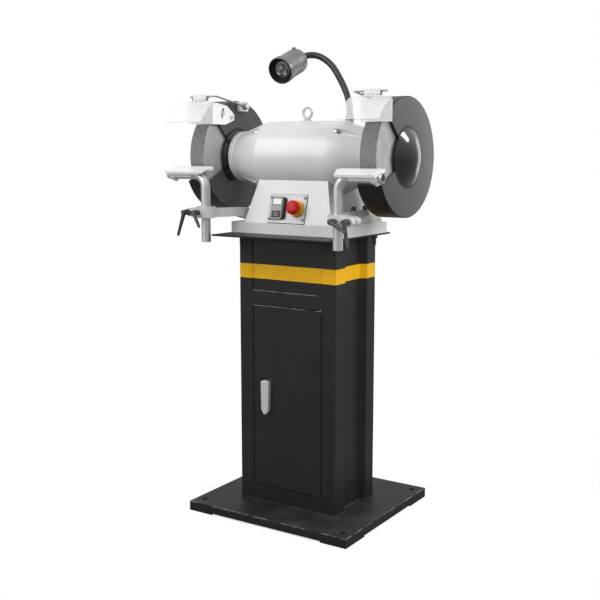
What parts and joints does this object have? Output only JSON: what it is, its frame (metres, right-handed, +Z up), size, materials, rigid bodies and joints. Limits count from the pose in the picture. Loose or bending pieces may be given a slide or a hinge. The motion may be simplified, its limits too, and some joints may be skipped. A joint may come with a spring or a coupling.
{
  "type": "double-wheel pedestal grinder",
  "caption": "Floor-standing bench grinder on a sheet-steel cabinet, with guarded wheels, tilting tool rests, eye shields, gooseneck lamp and emergency stop.",
  "frame": {"origin": "centre of the base plate's footprint, on the floor", "axes": "+X along the spindle to the operator's right, +Y to the rear, +Z up"},
  "size_m": [0.69, 0.5083, 1.3232],
  "materials": {
    "black_stand": "satin",
    "zinc_steel": "satin",
    "handle_metal": "satin",
    "black_oxide": "satin",
    "white_casting": "gloss",
    "core_iron": "matte",
    "machined_steel": "satin",
    "rest_plate": "satin",
    "grinding_grit": "matte",
    "guard_paint": "gloss",
    "grey_plate": "satin",
    "black_plastic": "matte",
    "white_plastic": "gloss",
    "yellow_plastic": "gloss",
    "red_plastic": "gloss",
    "clear_shield": "gloss",
    "neck_rubber": "matte",
    "lamp_metal": "satin",
    "lamp_clear": "gloss"
  },
  "bodies": {
    "machine": {"base_plate": "black_stand", "column": "black_stand", "upper_panel": "black_stand", "hinge_pins": "zinc_steel", "top_plate": "black_stand", "stand_bolts": "black_oxide", "cast_base": "white_casting", "motor_housing": "white_casting", "end_bell_left": "white_casting", "end_bell_right": "white_casting", "bell_screws": "black_oxide", "stator": "core_iron", "bearings": "machined_steel", "switch_plate": "grey_plate", "switch_body": "black_plastic", "estop_ring": "yellow_plastic", "panel_screws": "zinc_steel", "cable_gland": "black_plastic", "guard_left": "guard_paint", "guard_right": "guard_paint", "guard_cover_left": "guard_paint", "guard_cover_right": "guard_paint", "guard_screws": "zinc_steel", "shield_blocks": "zinc_steel", "rest_arm_left": "white_casting", "rest_arm_right": "white_casting", "arm_screws": "black_oxide", "eye_bolt": "zinc_steel", "gooseneck": "neck_rubber", "lamp_head": "lamp_metal", "lamp_lens": "lamp_clear"},
    "door": {"door": "black_stand"},
    "handle": {"door_handle": "handle_metal", "latch_cam": "zinc_steel"},
    "spindle": {"spindle": "machined_steel", "rotor": "core_iron", "wheel_flanges": "machined_steel", "wheel_left": "grinding_grit", "wheel_right": "grinding_grit", "spindle_nuts": "machined_steel"},
    "start_button": {"start_button": "white_plastic"},
    "stop_button": {"stop_button": "black_plastic"},
    "estop_button": {"estop_button": "red_plastic"},
    "lamp_switch": {"lamp_switch": "black_plastic"},
    "spark_bracket_left": {"spark_bracket_left": "white_casting"},
    "shield_arm_left": {"shield_rod_left": "zinc_steel"},
    "shield_left": {"shield_clip_left": "white_plastic", "eye_shield_left": "clear_shield"},
    "rest_post_left": {"rest_post_left": "zinc_steel"},
    "rest_table_left": {"rest_table_left": "rest_plate"},
    "clamp_lever_left": {"clamp_lever_left": "black_plastic"},
    "post_lever_left": {"post_lever_left": "black_plastic"},
    "spark_bracket_right": {"spark_bracket_right": "white_casting"},
    "shield_arm_right": {"shield_rod_right": "zinc_steel"},
    "shield_right": {"shield_clip_right": "white_plastic", "eye_shield_right": "clear_shield"},
    "rest_post_right": {"rest_post_right": "zinc_steel"},
    "rest_table_right": {"rest_table_right": "rest_plate"},
    "clamp_lever_right": {"clamp_lever_right": "black_plastic"},
    "post_lever_right": {"post_lever_right": "black_plastic"}
  },
  "joints": [
    {"name": "door_hinge", "type": "hinge", "parent": "machine", "child": "door", "pos_m": [0.109, -0.117, 0.075], "axis": [0, 0, 1], "range_deg": [0, 110]},
    {"name": "handle_turn", "type": "hinge", "parent": "door", "child": "handle", "pos_m": [-0.068, -0.1215, 0.374], "axis": [0, -1, 0], "range_deg": [0, 90]},
    {"name": "spindle_spin", "type": "hinge", "parent": "machine", "child": "spindle", "pos_m": [0, -0.014, 1.024], "axis": [1, 0, 0], "continuous": true},
    {"name": "start_press", "type": "slide", "parent": "machine", "child": "start_button", "axis": [0, 0.967, -0.2547], "range_m": [0, 0.003], "stiffness_N_per_m": 600},
    {"name": "stop_press", "type": "slide", "parent": "machine", "child": "stop_button", "axis": [0, 0.967, -0.2547], "range_m": [0, 0.003], "stiffness_N_per_m": 600},
    {"name": "estop_press", "type": "slide", "parent": "machine", "child": "estop_button", "axis": [0, 0.967, -0.2547], "range_m": [0, 0.006], "stiffness_N_per_m": 900},
    {"name": "lamp_switch_press", "type": "slide", "parent": "machine", "child": "lamp_switch", "axis": [-0.01, 0.3566, -0.9342], "range_m": [0, 0.002], "stiffness_N_per_m": 200},
    {"name": "spark_bracket_left_turn", "type": "hinge", "parent": "machine", "child": "spark_bracket_left", "pos_m": [-0.2405, -0.05, 1.136], "axis": [-1, 0, 0], "range_deg": [0, 3]},
    {"name": "shield_arm_left_lift", "type": "hinge", "parent": "machine", "child": "shield_arm_left", "pos_m": [-0.2239, 0, 1.168], "axis": [-1, 0, 0], "range_deg": [0, 60]},
    {"name": "shield_left_tilt", "type": "hinge", "parent": "shield_arm_left", "child": "shield_left", "pos_m": [-0.278, -0.139, 1.192], "axis": [-1, 0, 0], "range_deg": [-15, 40]},
    {"name": "rest_post_left_slide", "type": "slide", "parent": "machine", "child": "rest_post_left", "axis": [0, 0, 1], "range_m": [-0.03, 0.02]},
    {"name": "rest_table_left_tilt", "type": "hinge", "parent": "rest_post_left", "child": "rest_table_left", "pos_m": [-0.29, -0.205, 0.975], "axis": [1, 0, 0], "range_deg": [-14, 16]},
    {"name": "clamp_lever_left_turn", "type": "hinge", "parent": "machine", "child": "clamp_lever_left", "pos_m": [-0.258, -0.2283, 0.8715], "axis": [0, 1, 0], "range_deg": [0, 60]},
    {"name": "post_lever_left_turn", "type": "hinge", "parent": "machine", "child": "post_lever_left", "pos_m": [-0.221, -0.2323, 0.8715], "axis": [0, -1, 0], "range_deg": [-30, 60]},
    {"name": "spark_bracket_right_turn", "type": "hinge", "parent": "machine", "child": "spark_bracket_right", "pos_m": [0.2405, -0.05, 1.136], "axis": [-1, 0, 0], "range_deg": [0, 3]},
    {"name": "shield_arm_right_lift", "type": "hinge", "parent": "machine", "child": "shield_arm_right", "pos_m": [0.2239, 0, 1.168], "axis": [-1, 0, 0], "range_deg": [0, 60]},
    {"name": "shield_right_tilt", "type": "hinge", "parent": "shield_arm_right", "child": "shield_right", "pos_m": [0.278, -0.139, 1.192], "axis": [-1, 0, 0], "range_deg": [-15, 40]},
    {"name": "rest_post_right_slide", "type": "slide", "parent": "machine", "child": "rest_post_right", "axis": [0, 0, 1], "range_m": [-0.03, 0.02]},
    {"name": "rest_table_right_tilt", "type": "hinge", "parent": "rest_post_right", "child": "rest_table_right", "pos_m": [0.29, -0.205, 0.975], "axis": [1, 0, 0], "range_deg": [-14, 16]},
    {"name": "clamp_lever_right_turn", "type": "hinge", "parent": "machine", "child": "clamp_lever_right", "pos_m": [0.258, -0.2283, 0.8645], "axis": [0, -1, 0], "range_deg": [0, 60]},
    {"name": "post_lever_right_turn", "type": "hinge", "parent": "machine", "child": "post_lever_right", "pos_m": [0.221, -0.2323, 0.8645], "axis": [0, 1, 0], "range_deg": [0, 100]}
  ]
}
